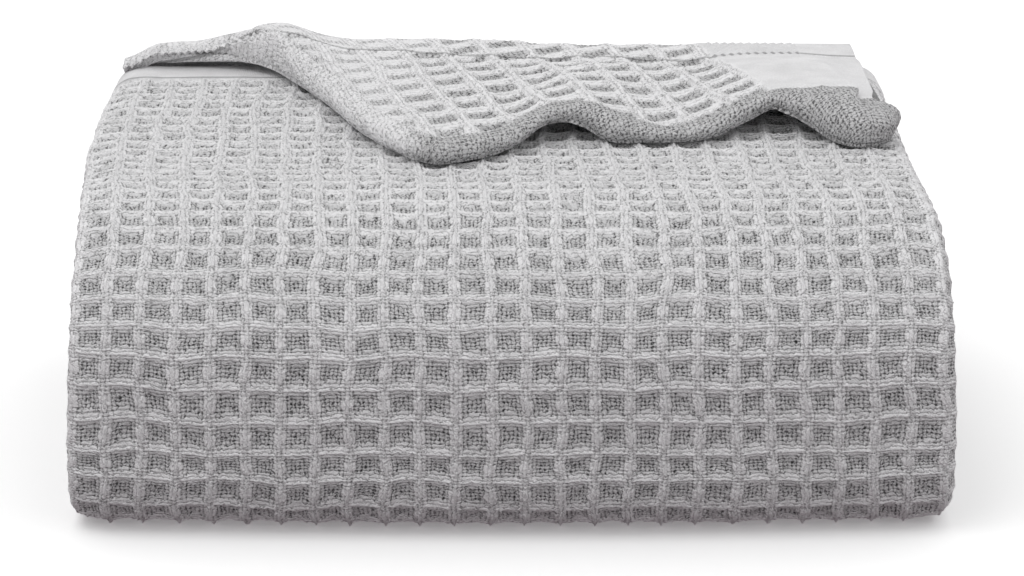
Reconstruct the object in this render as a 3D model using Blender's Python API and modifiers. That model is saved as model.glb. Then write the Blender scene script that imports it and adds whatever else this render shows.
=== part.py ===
"""Cotton throw blanket with a waffle weave, folded into a stack.

One sheet of cloth is folded back and forth. Its first end is hemmed and lies on top at the
back. From there the outer layer runs forward over the top, round the front and underneath.
At the back it turns up into the inner layers, which zigzag upwards inside the outer layer.
The last of them comes out at the back, over the first end, and makes a loose doubled page
on top, with a wavy turned-down edge in front and the second hem at the back.

Metres, +Z up, +X to the right as seen from the front, +Y towards the back. The origin is in
the middle of the stack's underside.
"""

import math

import bmesh
import bpy
import numpy as np

# The cloth
SHEET = 0.0038
HEM_SHEET = 0.0048
HEM_WIDTH = 0.022
LEAST_GAP = 0.0008
INNER_LAYERS = 14
COLOUR = (0.58, 0.57, 0.58, 1.0)
ROUGHNESS = 0.95

# Columns of points across the cloth. The edge strips curl in round the stack.
COLUMNS = 32
EDGE_COLUMNS = 4
EDGE_STRIP = 0.016
EDGE_CURL = math.radians(75)
FINE, MIDDLE, COARSE = 1, 2, 4

# Plan of the outer layer: where its side edges lie at the front and towards the back
FRONT_Y, WIDE_Y = -0.155, 0.050
LEFT_FRONT, LEFT_BACK = -0.1900, -0.2025
RIGHT_FRONT, RIGHT_BACK = 0.1900, 0.1880
SAG_OUT, SAG_HEIGHT = 0.0050, 0.140
FRONT_BOW = {"left": 0.006, "right": 0.009, "from_y": -0.050, "to_y": -0.150}
OUTER_TO_INNER_EDGE = 0.0085
UNDERSIDE_BACK = {"y": 0.143, "curl": 0.3, "left_in": 0.001, "right_in": 0.003}
FLAT_CURL = 0.01

# Middle line of the outer layer's section: y, z, from the first hem over the top, down the
# front and along the underside
OUTER_LAYER = (
    (0.1500, 0.1456),
    (0.1280, 0.1455),
    (0.1255, 0.1455),
    (0.0850, 0.1446),
    (0.0500, 0.1427),
    (0.0150, 0.1401),
    (-0.0200, 0.1384),
    (-0.0600, 0.1379),
    (-0.0880, 0.1375),
    (-0.1080, 0.1352),
    (-0.1250, 0.1304),
    (-0.1390, 0.1228),
    (-0.1490, 0.1136),
    (-0.1565, 0.1030),
    (-0.1607, 0.0920),
    (-0.1625, 0.0800),
    (-0.1625, 0.0670),
    (-0.1615, 0.0540),
    (-0.1600, 0.0400),
    (-0.1580, 0.0270),
    (-0.1530, 0.0160),
    (-0.1460, 0.0085),
    (-0.1370, 0.0036),
    (-0.1240, SHEET / 2),
    (-0.0500, SHEET / 2),
    (0.0400, SHEET / 2),
    (0.1100, SHEET / 2),
)

LOWEST_TOP = 0.13

# Inner layers from the lowest up: its turn, and how far its left and right edges are drawn
# in. Odd layers run forward, and their turn is so far behind the most forward clear place.
# Even ones run back, and their turn is the y of its nose.
INNER_FOLD = (
    {"turn": 0.0010, "left_in": 0.0010, "right_in": 0.0030},
    {"turn": 0.1490, "left_in": 0.0040, "right_in": 0.0010},
    {"turn": 0.0000, "left_in": 0.0015, "right_in": 0.0000},
    {"turn": 0.1535, "left_in": 0.0000, "right_in": 0.0035},
    {"turn": 0.0020, "left_in": 0.0030, "right_in": 0.0020},
    {"turn": 0.1480, "left_in": 0.0050, "right_in": 0.0000},
    {"turn": 0.0005, "left_in": 0.0010, "right_in": 0.0015},
    {"turn": 0.1525, "left_in": 0.0020, "right_in": 0.0045},
    {"turn": 0.0015, "left_in": 0.0000, "right_in": 0.0020},
    {"turn": 0.1500, "left_in": 0.0035, "right_in": 0.0005},
    {"turn": 0.0000, "left_in": 0.0015, "right_in": 0.0030},
    {"turn": 0.1520, "left_in": 0.0040, "right_in": 0.0010},
    {"turn": 0.0010, "left_in": 0.0020, "right_in": 0.0025},
    {"turn": 0.1500, "left_in": 0.0010, "right_in": 0.0015},
)
LAYERS_TOP = {"front": 0.1378, "back": 0.1456}
FIRST_BACK_TURN = 0.1550
TURN_SEARCH = {"from_y": -0.090, "step": 0.0005, "samples": 8}
LAYER_STEPS = 3
TURN_STEPS = 4

# Turned-down edge of the page on top, from the back left round its corner to the right end:
# place in plan, height of its foot and of its crest, and how far behind the foot the crest
# lies
PAGE_EDGE = (
    {"x": -0.2005, "y": 0.1430, "foot": 0.1480, "crest": 0.1574, "behind": 0.003},
    {"x": -0.1900, "y": 0.1420, "foot": 0.1490, "crest": 0.1582, "behind": 0.004},
    {"x": -0.1650, "y": 0.1400, "foot": 0.1502, "crest": 0.1604, "behind": 0.005},
    {"x": -0.1440, "y": 0.1370, "foot": 0.1515, "crest": 0.1636, "behind": 0.006},
    {"x": -0.1285, "y": 0.1265, "foot": 0.1525, "crest": 0.1732, "behind": 0.0035},
    {"x": -0.1165, "y": 0.1130, "foot": 0.1495, "crest": 0.1705, "behind": 0.004},
    {"x": -0.1049, "y": 0.0900, "foot": 0.1482, "crest": 0.1660, "behind": 0.006},
    {"x": -0.0882, "y": 0.0510, "foot": 0.1462, "crest": 0.1600, "behind": 0.008},
    {"x": -0.0745, "y": 0.0170, "foot": 0.1434, "crest": 0.1572, "behind": 0.008},
    {"x": -0.0582, "y": -0.0112, "foot": 0.1416, "crest": 0.1550, "behind": 0.007},
    {"x": -0.0440, "y": -0.0330, "foot": 0.1409, "crest": 0.1535, "behind": 0.007},
    {"x": -0.0320, "y": -0.0375, "foot": 0.1408, "crest": 0.1530, "behind": 0.007},
    {"x": -0.0149, "y": -0.0270, "foot": 0.1410, "crest": 0.1530, "behind": 0.006},
    {"x": 0.0010, "y": -0.0140, "foot": 0.1425, "crest": 0.1530, "behind": 0.006},
    {"x": 0.0130, "y": 0.0000, "foot": 0.1485, "crest": 0.1580, "behind": 0.006},
    {"x": 0.0245, "y": 0.0100, "foot": 0.1510, "crest": 0.1602, "behind": 0.006},
    {"x": 0.0330, "y": 0.0090, "foot": 0.1482, "crest": 0.1605, "behind": 0.006},
    {"x": 0.0425, "y": 0.0040, "foot": 0.1422, "crest": 0.1585, "behind": 0.008},
    {"x": 0.0540, "y": 0.0015, "foot": 0.1418, "crest": 0.1545, "behind": 0.006},
    {"x": 0.0690, "y": 0.0010, "foot": 0.1417, "crest": 0.1508, "behind": 0.005},
    {"x": 0.0890, "y": 0.0040, "foot": 0.1418, "crest": 0.1512, "behind": 0.005},
    {"x": 0.1010, "y": 0.0080, "foot": 0.1445, "crest": 0.1553, "behind": 0.006},
    {"x": 0.1160, "y": 0.0160, "foot": 0.1503, "crest": 0.1615, "behind": 0.006},
    {"x": 0.1300, "y": 0.0200, "foot": 0.1540, "crest": 0.1640, "behind": 0.007},
    {"x": 0.1430, "y": 0.0100, "foot": 0.1460, "crest": 0.1650, "behind": 0.018},
    {"x": 0.1560, "y": -0.0030, "foot": 0.1420, "crest": 0.1650, "behind": 0.028},
    {"x": 0.1690, "y": -0.0060, "foot": 0.1415, "crest": 0.1625, "behind": 0.028},
    {"x": 0.1790, "y": 0.0030, "foot": 0.1408, "crest": 0.1605, "behind": 0.024},
    {"x": 0.1850, "y": 0.0200, "foot": 0.1400, "crest": 0.1590, "behind": 0.012},
)

# Back of the page, from left to right: height of its underside above the outer layer, and
# of its top
PAGE_BACK_Y = 0.150
PAGE_TOP_BACK_Y = 0.158
PAGE_BACK = (
    {"x": -0.2000, "lift": 0.0006, "top": 0.1578},
    {"x": -0.1900, "lift": 0.0010, "top": 0.1586},
    {"x": -0.1650, "lift": 0.0022, "top": 0.1602},
    {"x": -0.1450, "lift": 0.0036, "top": 0.1630},
    {"x": -0.1230, "lift": 0.0045, "top": 0.1705},
    {"x": -0.1050, "lift": 0.0030, "top": 0.1660},
    {"x": -0.0850, "lift": 0.0018, "top": 0.1612},
    {"x": -0.0600, "lift": 0.0012, "top": 0.1612},
    {"x": -0.0050, "lift": 0.0010, "top": 0.1608},
    {"x": 0.0200, "lift": 0.0010, "top": 0.1590},
    {"x": 0.1000, "lift": 0.0010, "top": 0.1585},
    {"x": 0.1750, "lift": 0.0008, "top": 0.1580},
)
EDGE_WINDOW = 0.025
EDGE_UNDER = 0.003
PAGE_CROWN = 0.0020
LEAST_BEFORE_HEM = 0.4
HEM_STEP = 0.1
LOWER_PAGE_STEPS = 6
EDGE_STEPS = 6
UPPER_PAGE_STEPS = 7
PAGE_TURN_STEPS = 5


def through(keys, values, at):
    """A smooth curve through the values at their keys, read at one place."""
    at = min(max(at, keys[0]), keys[-1])
    right = min(max(int(np.searchsorted(keys, at)), 1), len(keys) - 1)
    left = right - 1

    def slope(index):
        before, after = max(index - 1, 0), min(index + 1, len(keys) - 1)
        return (values[after] - values[before]) / (keys[after] - keys[before])

    span = keys[right] - keys[left]
    t = (at - keys[left]) / span
    return (
        values[left] * (1 + 2 * t) * (1 - t) ** 2
        + slope(left) * span * t * (1 - t) ** 2
        + values[right] * t * t * (3 - 2 * t)
        + slope(right) * span * t * t * (t - 1)
    )


def column_of(table, name):
    return [row[name] for row in table]


def eased(t):
    t = min(max(t, 0.0), 1.0)
    return t * t * (3 - 2 * t)


def mixed(a, b, t):
    return a + (b - a) * t


def side_x(side, y, z):
    """The stack's left or right edge, a little wider low down, where the layers sag."""
    t = eased((y - FRONT_Y) / (WIDE_Y - FRONT_Y))
    sag = side * SAG_OUT * (1 - eased(z / SAG_HEIGHT))
    if side < 0:
        return mixed(LEFT_FRONT, LEFT_BACK, t) + sag
    return mixed(RIGHT_FRONT, RIGHT_BACK, t) + sag


def bowed(x, y):
    """The front bows back towards its two ends."""
    ends = FRONT_BOW["left"] if x < 0 else FRONT_BOW["right"]
    share = eased((y - FRONT_BOW["from_y"]) / (FRONT_BOW["to_y"] - FRONT_BOW["from_y"]))
    return y + ends * (x / RIGHT_FRONT) ** 2 * share


def row_across(y, z, normal, outer, left_in=0.0, right_in=0.0):
    """Points across one line of the cloth. With outer at 1 the edge strips curl in round the
    stack, against the normal, and with outer at 0 they lie flat and drawn in."""
    points = []
    last = COLUMNS - EDGE_COLUMNS
    curl = EDGE_CURL * outer
    reach = EDGE_STRIP if curl < FLAT_CURL else EDGE_STRIP * math.sin(curl) / curl
    drawn_in = OUTER_TO_INNER_EDGE * (1 - outer)
    left = side_x(-1, y, z) + reach + drawn_in + left_in
    right = side_x(1, y, z) - reach - drawn_in - right_in
    for column in range(COLUMNS + 1):
        x = mixed(left, right, min(max((column - EDGE_COLUMNS) / (last - EDGE_COLUMNS), 0), 1))
        side = -1 if column < EDGE_COLUMNS else 1
        strip = max(EDGE_COLUMNS - column, column - last, 0) / EDGE_COLUMNS * EDGE_STRIP
        inset = 0.0
        if strip and curl < FLAT_CURL:
            x += side * strip
        elif strip:
            radius = EDGE_STRIP / curl
            x += side * radius * math.sin(strip / radius)
            inset = radius * (1 - math.cos(strip / radius))
        py, pz = y - normal[0] * inset, z - normal[1] * inset
        points.append((x, bowed(x, py), pz))
    return points


def outer_rows():
    """The outer layer, from the first hem to the back of the underside."""
    rows = []
    line = OUTER_LAYER
    for index, (y, z) in enumerate(line):
        before, after = line[max(index - 1, 0)], line[min(index + 1, len(line) - 1)]
        dy, dz = after[0] - before[0], after[1] - before[1]
        length = math.hypot(dy, dz)
        rows.append((MIDDLE, row_across(y, z, (dz / length, -dy / length), 1.0)))
    end = UNDERSIDE_BACK
    drawn_in = (end["left_in"], end["right_in"])
    rows.append((MIDDLE, row_across(end["y"], SHEET / 2, (0, -1), end["curl"], *drawn_in)))
    return rows


def outer_top(y):
    """Height of the outer layer's upper face."""
    flat = [row for row in OUTER_LAYER if row[1] > LOWEST_TOP][::-1]
    return through([row[0] for row in flat], [row[1] for row in flat], y) + SHEET / 2


def layer_z(layer, y):
    """Height of an inner layer's middle, with the underside as layer 0."""
    t = eased((y - FRONT_Y) / (PAGE_BACK_Y - FRONT_Y))
    top = mixed(LAYERS_TOP["front"], LAYERS_TOP["back"], t)
    return SHEET / 2 + (top - SHEET / 2) * layer / (INNER_LAYERS + 1)


def turn_points(nose_y, low_z, high_z, side):
    """A turn between two layers, from the lower to the upper, with its nose at nose_y."""
    radius = (high_z - low_z) / 2
    points = []
    for step in range(TURN_STEPS + 1):
        angle = math.pi * (step / TURN_STEPS - 0.5)
        y = nose_y - side * radius * (1 - math.cos(angle))
        points.append((y, (low_z + high_z) / 2 + radius * math.sin(angle)))
    return points


def front_nose(low_z, high_z):
    """The most forward place for a front turn that stays clear of the outer layer."""
    wall = [(y, z) for y, z in OUTER_LAYER if y < TURN_SEARCH["from_y"]]
    samples = []
    for (y0, z0), (y1, z1) in zip(wall, wall[1:]):
        for share in np.linspace(0, 1, TURN_SEARCH["samples"] + 1):
            samples.append((mixed(y0, y1, share), mixed(z0, z1, share)))
    nose = TURN_SEARCH["from_y"]
    while min(
        math.dist(place, sample)
        for place in turn_points(nose - TURN_SEARCH["step"], low_z, high_z, -1)
        for sample in samples
    ) > SHEET + 2 * LEAST_GAP:
        nose -= TURN_SEARCH["step"]
    return nose


def inner_rows():
    """The zigzag, from the back of the underside to the back end of the highest layer."""
    line = []
    low, high = layer_z(0, FIRST_BACK_TURN), layer_z(1, FIRST_BACK_TURN)
    first = INNER_FOLD[0]
    for y, z in turn_points(FIRST_BACK_TURN, low, high, 1):
        line.append((y, z, first["left_in"], first["right_in"]))
    for layer in range(1, INNER_LAYERS + 1):
        fold = INNER_FOLD[layer - 1]
        edges = (fold["left_in"], fold["right_in"])
        forward = layer % 2 == 1
        start_y = line[-1][0]
        if forward:
            low, high = layer_z(layer, FRONT_Y), layer_z(layer + 1, FRONT_Y)
            turn = turn_points(front_nose(low, high) + fold["turn"], low, high, -1)
        elif layer < INNER_LAYERS:
            low, high = layer_z(layer, fold["turn"]), layer_z(layer + 1, fold["turn"])
            turn = turn_points(fold["turn"], low, high, 1)
        else:
            turn = [(PAGE_BACK_Y, layer_z(layer, PAGE_BACK_Y))]
        for step in range(1, LAYER_STEPS):
            y = mixed(start_y, turn[0][0], step / LAYER_STEPS)
            line.append((y, layer_z(layer, y), *edges))
        following = INNER_FOLD[min(layer, INNER_LAYERS - 1)]
        for step, (y, z) in enumerate(turn):
            t = step / max(len(turn) - 1, 1)
            left_in = mixed(edges[0], following["left_in"], t)
            right_in = mixed(edges[1], following["right_in"], t)
            line.append((y, z, left_in, right_in))
    return [(COARSE, row_across(y, z, (0, 1), 0.0, left, right)) for y, z, left, right in line]


def page_edge(column):
    """The turned-down edge at one column: its place, its outward direction in plan, and the
    heights of its foot and its crest."""
    xs, ys = column_of(PAGE_EDGE, "x"), column_of(PAGE_EDGE, "y")
    along = [0.0]
    for index in range(1, len(xs)):
        step = math.hypot(xs[index] - xs[index - 1], ys[index] - ys[index - 1])
        along.append(along[-1] + step)
    at = along[-1] * column / COLUMNS
    place = np.array([through(along, xs, at), through(along, ys, at)])
    ahead = min(at + EDGE_WINDOW, along[-1])
    behind = max(at - EDGE_WINDOW, 0.0)
    way = np.array(
        [
            through(along, xs, ahead) - through(along, xs, behind),
            through(along, ys, ahead) - through(along, ys, behind),
        ]
    )
    outward = np.array([way[1], -way[0]]) / np.hypot(*way)
    foot = through(along, column_of(PAGE_EDGE, "foot"), at)
    foot = max(foot, outer_top(place[1]) + LEAST_GAP) + SHEET / 2
    crest = through(along, column_of(PAGE_EDGE, "crest"), at) - SHEET / 2
    return place, outward, foot, crest, through(along, column_of(PAGE_EDGE, "behind"), at)


def page_rows(turn_from):
    """The page on top: up round the first end at the back, forward, over the turned-down edge
    and back to the second hem."""
    columns = []
    xs = column_of(PAGE_BACK, "x")
    for column in range(COLUMNS + 1):
        place, outward, foot, crest, behind = page_edge(column)
        back_x = mixed(xs[0], xs[-1], column / COLUMNS)
        lift = through(xs, column_of(PAGE_BACK, "lift"), back_x)
        rest = SHEET / 2 + LEAST_GAP
        low_back = np.array([back_x, PAGE_BACK_Y, outer_top(PAGE_BACK_Y) + rest + lift])
        top_z = through(xs, column_of(PAGE_BACK, "top"), back_x) - SHEET / 2
        top_back = np.array([back_x, PAGE_TOP_BACK_Y, top_z])
        half = (crest - foot) / 2
        under = min(half, EDGE_UNDER)

        # Up round the first end
        start = np.array(turn_from[column])
        middle, reach = (start + low_back) / 2, (low_back - start) / 2
        points = []
        for step in range(1, PAGE_TURN_STEPS):
            angle = math.pi * (step / PAGE_TURN_STEPS - 0.5)
            bulge = np.array([0, np.linalg.norm(reach) * math.cos(angle), 0])
            points.append(middle + reach * math.sin(angle) + bulge)

        # Forward underneath
        low_front = np.append(place - outward * under, foot)
        front_lift = foot - outer_top(low_front[1]) - rest
        for step in range(LOWER_PAGE_STEPS):
            t = step / LOWER_PAGE_STEPS
            x, y = mixed(low_back[:2], low_front[:2], t)
            z = outer_top(y) + rest + mixed(lift, front_lift, t**2)
            points.append(np.array([x, y, z]))

        # Round the edge
        for step in range(EDGE_STEPS + 1):
            angle = math.pi * (step / EDGE_STEPS - 0.5)
            depth = under if angle < 0 else behind
            plan = place - outward * depth * (1 - math.cos(angle))
            points.append(np.append(plan, (foot + crest) / 2 + half * math.sin(angle)))

        # Back to the hem, whose two rows bound its thicker strip
        crest_point = points[-1]
        length = np.linalg.norm(top_back - crest_point)
        hem = max(1 - HEM_WIDTH / length, LEAST_BEFORE_HEM)
        shares = [hem * step / UPPER_PAGE_STEPS for step in range(1, UPPER_PAGE_STEPS + 1)]
        for t in shares + [mixed(hem, 1, HEM_STEP), 1]:
            point = mixed(crest_point, top_back, t)
            point[2] += PAGE_CROWN * math.sin(math.pi * t)
            points.append(point)
        columns.append(points)
    return [(FINE, [points[row] for points in columns]) for row in range(len(columns[0]))]


def stitched(mesh, verts, row, following):
    """Faces between two rows of points, which may be spaced differently."""
    step, next_step = row[0], following[0]
    wide = max(step, next_step)
    for start in range(0, COLUMNS, wide):
        near = [verts[0][c] for c in range(start, start + wide + 1, step)]
        far = [verts[1][c] for c in range(start, start + wide + 1, next_step)]
        if len(near) == len(far):
            mesh.faces.new((near[0], near[1], far[1], far[0]))
            continue
        few, many = (near, far) if len(near) < len(far) else (far, near)
        half = (len(many) - 1) // 2
        corners = [(few[0], many[i + 1], many[i]) for i in range(half)]
        corners += [(few[1], many[i + 1], many[i]) for i in range(half, len(many) - 1)]
        corners.append((few[0], few[1], many[half]))
        for corner in corners:
            mesh.faces.new(corner if few is near else corner[::-1])


def centred(rows):
    """The rows moved so that the origin lies under the middle of the stack's box."""
    points = np.array([point for _, row in rows for point in row])
    middle = (points.min(axis=0) + points.max(axis=0)) / 2
    return [(step, np.array(row) - (middle[0], middle[1], 0)) for step, row in rows]


def cloth_surface(rows):
    """The open middle surface of the sheet."""
    mesh = bmesh.new()
    made = []
    for step, points in rows:
        made.append({c: mesh.verts.new(points[c]) for c in range(0, COLUMNS + 1, step)})
    for index in range(len(rows) - 1):
        stitched(mesh, made[index : index + 2], rows[index], rows[index + 1])
    bmesh.ops.recalc_face_normals(mesh, faces=mesh.faces)
    surface = bpy.data.meshes.new("throw_blanket")
    mesh.to_mesh(surface)
    mesh.free()
    return surface


def finish(surface, rows):
    """One object with the cloth's thickness, a little more over the two hems."""
    cloth = bpy.data.objects.new("throw_blanket", surface)
    group = cloth.vertex_groups.new(name="hem")
    first_hem = 2 * (COLUMNS // rows[0][0] + 1)
    last_hem = len(surface.vertices) - 2 * (COLUMNS + 1)
    for index in range(len(surface.vertices)):
        in_hem = index < first_hem or index >= last_hem
        group.add([index], 1.0 if in_hem else SHEET / HEM_SHEET, "REPLACE")
    solid = cloth.modifiers.new("thickness", "SOLIDIFY")
    solid.thickness = HEM_SHEET
    solid.offset = 0.0
    solid.vertex_group = "hem"
    solid.use_rim = True
    material = bpy.data.materials.new("cotton_grey")
    material.use_nodes = True
    shader = material.node_tree.nodes["Principled BSDF"]
    shader.inputs["Base Color"].default_value = COLOUR
    shader.inputs["Roughness"].default_value = ROUGHNESS
    shader.inputs["Metallic"].default_value = 0.0
    surface.materials.append(material)
    surface.shade_smooth()
    return cloth


def main():
    for old in list(bpy.data.objects):
        bpy.data.objects.remove(old)
    collection = bpy.data.collections.new("throw_blanket")
    bpy.context.scene.collection.children.link(collection)

    rows = outer_rows() + inner_rows()
    rows += page_rows(rows[-1][1])
    rows = centred(rows)
    collection.objects.link(finish(cloth_surface(rows), rows))


main()
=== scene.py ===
"""Looks of the folded cotton throw blanket: its waffle weave, plain border, hems, light and view.

The cloth lies on the folds of the CAD solid. The sizes and tables of its section are repeated
from the part's source, and each stretch of it becomes a thin sheet with the weave's ridges and
recesses in its mesh. Metres, +Z up, +X right as seen from the front, +Y towards the back.
"""

import math

import bpy
import numpy as np
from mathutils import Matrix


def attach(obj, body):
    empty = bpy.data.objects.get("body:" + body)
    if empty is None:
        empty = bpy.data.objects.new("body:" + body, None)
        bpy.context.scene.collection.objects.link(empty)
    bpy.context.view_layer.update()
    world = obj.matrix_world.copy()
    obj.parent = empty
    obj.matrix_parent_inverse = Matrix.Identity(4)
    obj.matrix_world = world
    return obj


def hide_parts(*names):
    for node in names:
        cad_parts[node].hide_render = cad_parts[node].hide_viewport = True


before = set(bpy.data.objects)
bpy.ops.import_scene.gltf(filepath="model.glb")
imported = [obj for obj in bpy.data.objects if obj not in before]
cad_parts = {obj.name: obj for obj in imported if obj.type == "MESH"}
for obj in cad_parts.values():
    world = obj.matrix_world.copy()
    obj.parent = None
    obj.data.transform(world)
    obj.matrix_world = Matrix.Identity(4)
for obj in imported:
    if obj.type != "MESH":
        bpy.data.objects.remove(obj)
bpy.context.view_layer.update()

# The cloth, as in the part's source
SHEET = 0.0038
HEM_WIDTH = 0.022
LEAST_GAP = 0.0008
INNER_LAYERS = 14
COLUMNS = 32
EDGE_COLUMNS = 4
EDGE_STRIP = 0.016
EDGE_CURL = math.radians(75)
FRONT_Y, WIDE_Y = -0.155, 0.050
LEFT_FRONT, LEFT_BACK = -0.1900, -0.2025
RIGHT_FRONT, RIGHT_BACK = 0.1900, 0.1880
SAG_OUT, SAG_HEIGHT = 0.0050, 0.140
FRONT_BOW = {"left": 0.006, "right": 0.009, "from_y": -0.050, "to_y": -0.150}
OUTER_TO_INNER_EDGE = 0.0085
UNDERSIDE_BACK = {"y": 0.143, "curl": 0.3, "left_in": 0.001, "right_in": 0.003}
FLAT_CURL = 0.01

# Middle line of the outer layer's section: y, z, from the first hem over the top, down the
# front and along the underside
OUTER_LAYER = (
    (0.1500, 0.1456),
    (0.1280, 0.1455),
    (0.1255, 0.1455),
    (0.0850, 0.1446),
    (0.0500, 0.1427),
    (0.0150, 0.1401),
    (-0.0200, 0.1384),
    (-0.0600, 0.1379),
    (-0.0880, 0.1375),
    (-0.1080, 0.1352),
    (-0.1250, 0.1304),
    (-0.1390, 0.1228),
    (-0.1490, 0.1136),
    (-0.1565, 0.1030),
    (-0.1607, 0.0920),
    (-0.1625, 0.0800),
    (-0.1625, 0.0670),
    (-0.1615, 0.0540),
    (-0.1600, 0.0400),
    (-0.1580, 0.0270),
    (-0.1530, 0.0160),
    (-0.1460, 0.0085),
    (-0.1370, 0.0036),
    (-0.1240, SHEET / 2),
    (-0.0500, SHEET / 2),
    (0.0400, SHEET / 2),
    (0.1100, SHEET / 2),
)
LOWEST_TOP = 0.13

# Inner layers from the lowest up: how far back the turn reaches, and how far the left and right
# edges are drawn in
INNER_FOLD = (
    {"turn": 0.0010, "left_in": 0.0010, "right_in": 0.0030},
    {"turn": 0.1490, "left_in": 0.0040, "right_in": 0.0010},
    {"turn": 0.0000, "left_in": 0.0015, "right_in": 0.0000},
    {"turn": 0.1535, "left_in": 0.0000, "right_in": 0.0035},
    {"turn": 0.0020, "left_in": 0.0030, "right_in": 0.0020},
    {"turn": 0.1480, "left_in": 0.0050, "right_in": 0.0000},
    {"turn": 0.0005, "left_in": 0.0010, "right_in": 0.0015},
    {"turn": 0.1525, "left_in": 0.0020, "right_in": 0.0045},
    {"turn": 0.0015, "left_in": 0.0000, "right_in": 0.0020},
    {"turn": 0.1500, "left_in": 0.0035, "right_in": 0.0005},
    {"turn": 0.0000, "left_in": 0.0015, "right_in": 0.0030},
    {"turn": 0.1520, "left_in": 0.0040, "right_in": 0.0010},
    {"turn": 0.0010, "left_in": 0.0020, "right_in": 0.0025},
    {"turn": 0.1500, "left_in": 0.0010, "right_in": 0.0015},
)
LAYERS_TOP = {"front": 0.1378, "back": 0.1456}
FIRST_BACK_TURN = 0.1550
TURN_SEARCH = {"from_y": -0.090, "step": 0.0005, "samples": 8}
LAYER_STEPS = 3
TURN_STEPS = 4

# Turned-down edge of the page on top, from the back left round its corner to the right end
PAGE_EDGE = (
    {"x": -0.2005, "y": 0.1430, "foot": 0.1480, "crest": 0.1574, "behind": 0.003},
    {"x": -0.1900, "y": 0.1420, "foot": 0.1490, "crest": 0.1582, "behind": 0.004},
    {"x": -0.1650, "y": 0.1400, "foot": 0.1502, "crest": 0.1604, "behind": 0.005},
    {"x": -0.1440, "y": 0.1370, "foot": 0.1515, "crest": 0.1636, "behind": 0.006},
    {"x": -0.1285, "y": 0.1265, "foot": 0.1525, "crest": 0.1732, "behind": 0.0035},
    {"x": -0.1165, "y": 0.1130, "foot": 0.1495, "crest": 0.1705, "behind": 0.004},
    {"x": -0.1049, "y": 0.0900, "foot": 0.1482, "crest": 0.1660, "behind": 0.006},
    {"x": -0.0882, "y": 0.0510, "foot": 0.1462, "crest": 0.1600, "behind": 0.008},
    {"x": -0.0745, "y": 0.0170, "foot": 0.1434, "crest": 0.1572, "behind": 0.008},
    {"x": -0.0582, "y": -0.0112, "foot": 0.1416, "crest": 0.1550, "behind": 0.007},
    {"x": -0.0440, "y": -0.0330, "foot": 0.1409, "crest": 0.1535, "behind": 0.007},
    {"x": -0.0320, "y": -0.0375, "foot": 0.1408, "crest": 0.1530, "behind": 0.007},
    {"x": -0.0149, "y": -0.0270, "foot": 0.1410, "crest": 0.1530, "behind": 0.006},
    {"x": 0.0010, "y": -0.0140, "foot": 0.1425, "crest": 0.1530, "behind": 0.006},
    {"x": 0.0130, "y": 0.0000, "foot": 0.1485, "crest": 0.1580, "behind": 0.006},
    {"x": 0.0245, "y": 0.0100, "foot": 0.1510, "crest": 0.1602, "behind": 0.006},
    {"x": 0.0330, "y": 0.0090, "foot": 0.1482, "crest": 0.1605, "behind": 0.006},
    {"x": 0.0425, "y": 0.0040, "foot": 0.1422, "crest": 0.1585, "behind": 0.008},
    {"x": 0.0540, "y": 0.0015, "foot": 0.1418, "crest": 0.1545, "behind": 0.006},
    {"x": 0.0690, "y": 0.0010, "foot": 0.1417, "crest": 0.1508, "behind": 0.005},
    {"x": 0.0890, "y": 0.0040, "foot": 0.1418, "crest": 0.1512, "behind": 0.005},
    {"x": 0.1010, "y": 0.0080, "foot": 0.1445, "crest": 0.1553, "behind": 0.006},
    {"x": 0.1160, "y": 0.0160, "foot": 0.1503, "crest": 0.1615, "behind": 0.006},
    {"x": 0.1300, "y": 0.0200, "foot": 0.1540, "crest": 0.1640, "behind": 0.007},
    {"x": 0.1430, "y": 0.0100, "foot": 0.1460, "crest": 0.1650, "behind": 0.018},
    {"x": 0.1560, "y": -0.0030, "foot": 0.1420, "crest": 0.1650, "behind": 0.028},
    {"x": 0.1690, "y": -0.0060, "foot": 0.1415, "crest": 0.1625, "behind": 0.028},
    {"x": 0.1790, "y": 0.0030, "foot": 0.1408, "crest": 0.1605, "behind": 0.024},
    {"x": 0.1850, "y": 0.0200, "foot": 0.1400, "crest": 0.1590, "behind": 0.012},
)

# Back of the page, from left to right: height of its underside above the outer layer, and top
PAGE_BACK_Y = 0.150
PAGE_TOP_BACK_Y = 0.158
PAGE_BACK = (
    {"x": -0.2000, "lift": 0.0006, "top": 0.1578},
    {"x": -0.1900, "lift": 0.0010, "top": 0.1586},
    {"x": -0.1650, "lift": 0.0022, "top": 0.1602},
    {"x": -0.1450, "lift": 0.0036, "top": 0.1630},
    {"x": -0.1230, "lift": 0.0045, "top": 0.1705},
    {"x": -0.1050, "lift": 0.0030, "top": 0.1660},
    {"x": -0.0850, "lift": 0.0018, "top": 0.1612},
    {"x": -0.0600, "lift": 0.0012, "top": 0.1612},
    {"x": -0.0050, "lift": 0.0010, "top": 0.1608},
    {"x": 0.0200, "lift": 0.0010, "top": 0.1590},
    {"x": 0.1000, "lift": 0.0010, "top": 0.1585},
    {"x": 0.1750, "lift": 0.0008, "top": 0.1580},
)
EDGE_WINDOW = 0.025
EDGE_UNDER = 0.003
PAGE_CROWN = 0.0020
LEAST_BEFORE_HEM = 0.4
HEM_STEP = 0.1
LOWER_PAGE_STEPS = 6
EDGE_STEPS = 6
UPPER_PAGE_STEPS = 7
PAGE_TURN_STEPS = 5
EDGE_ROW = PAGE_TURN_STEPS + LOWER_PAGE_STEPS
CREST_ROW = EDGE_ROW + EDGE_STEPS

# The weave: cells of 8 by 8 threads, and where their ridges stand in a cell
CELL = 0.015
THREADS = 8
CELLS_ACROSS = 26
RIDGE_AT_U = 0.375
RIDGE_AT_V = 0.25

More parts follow.
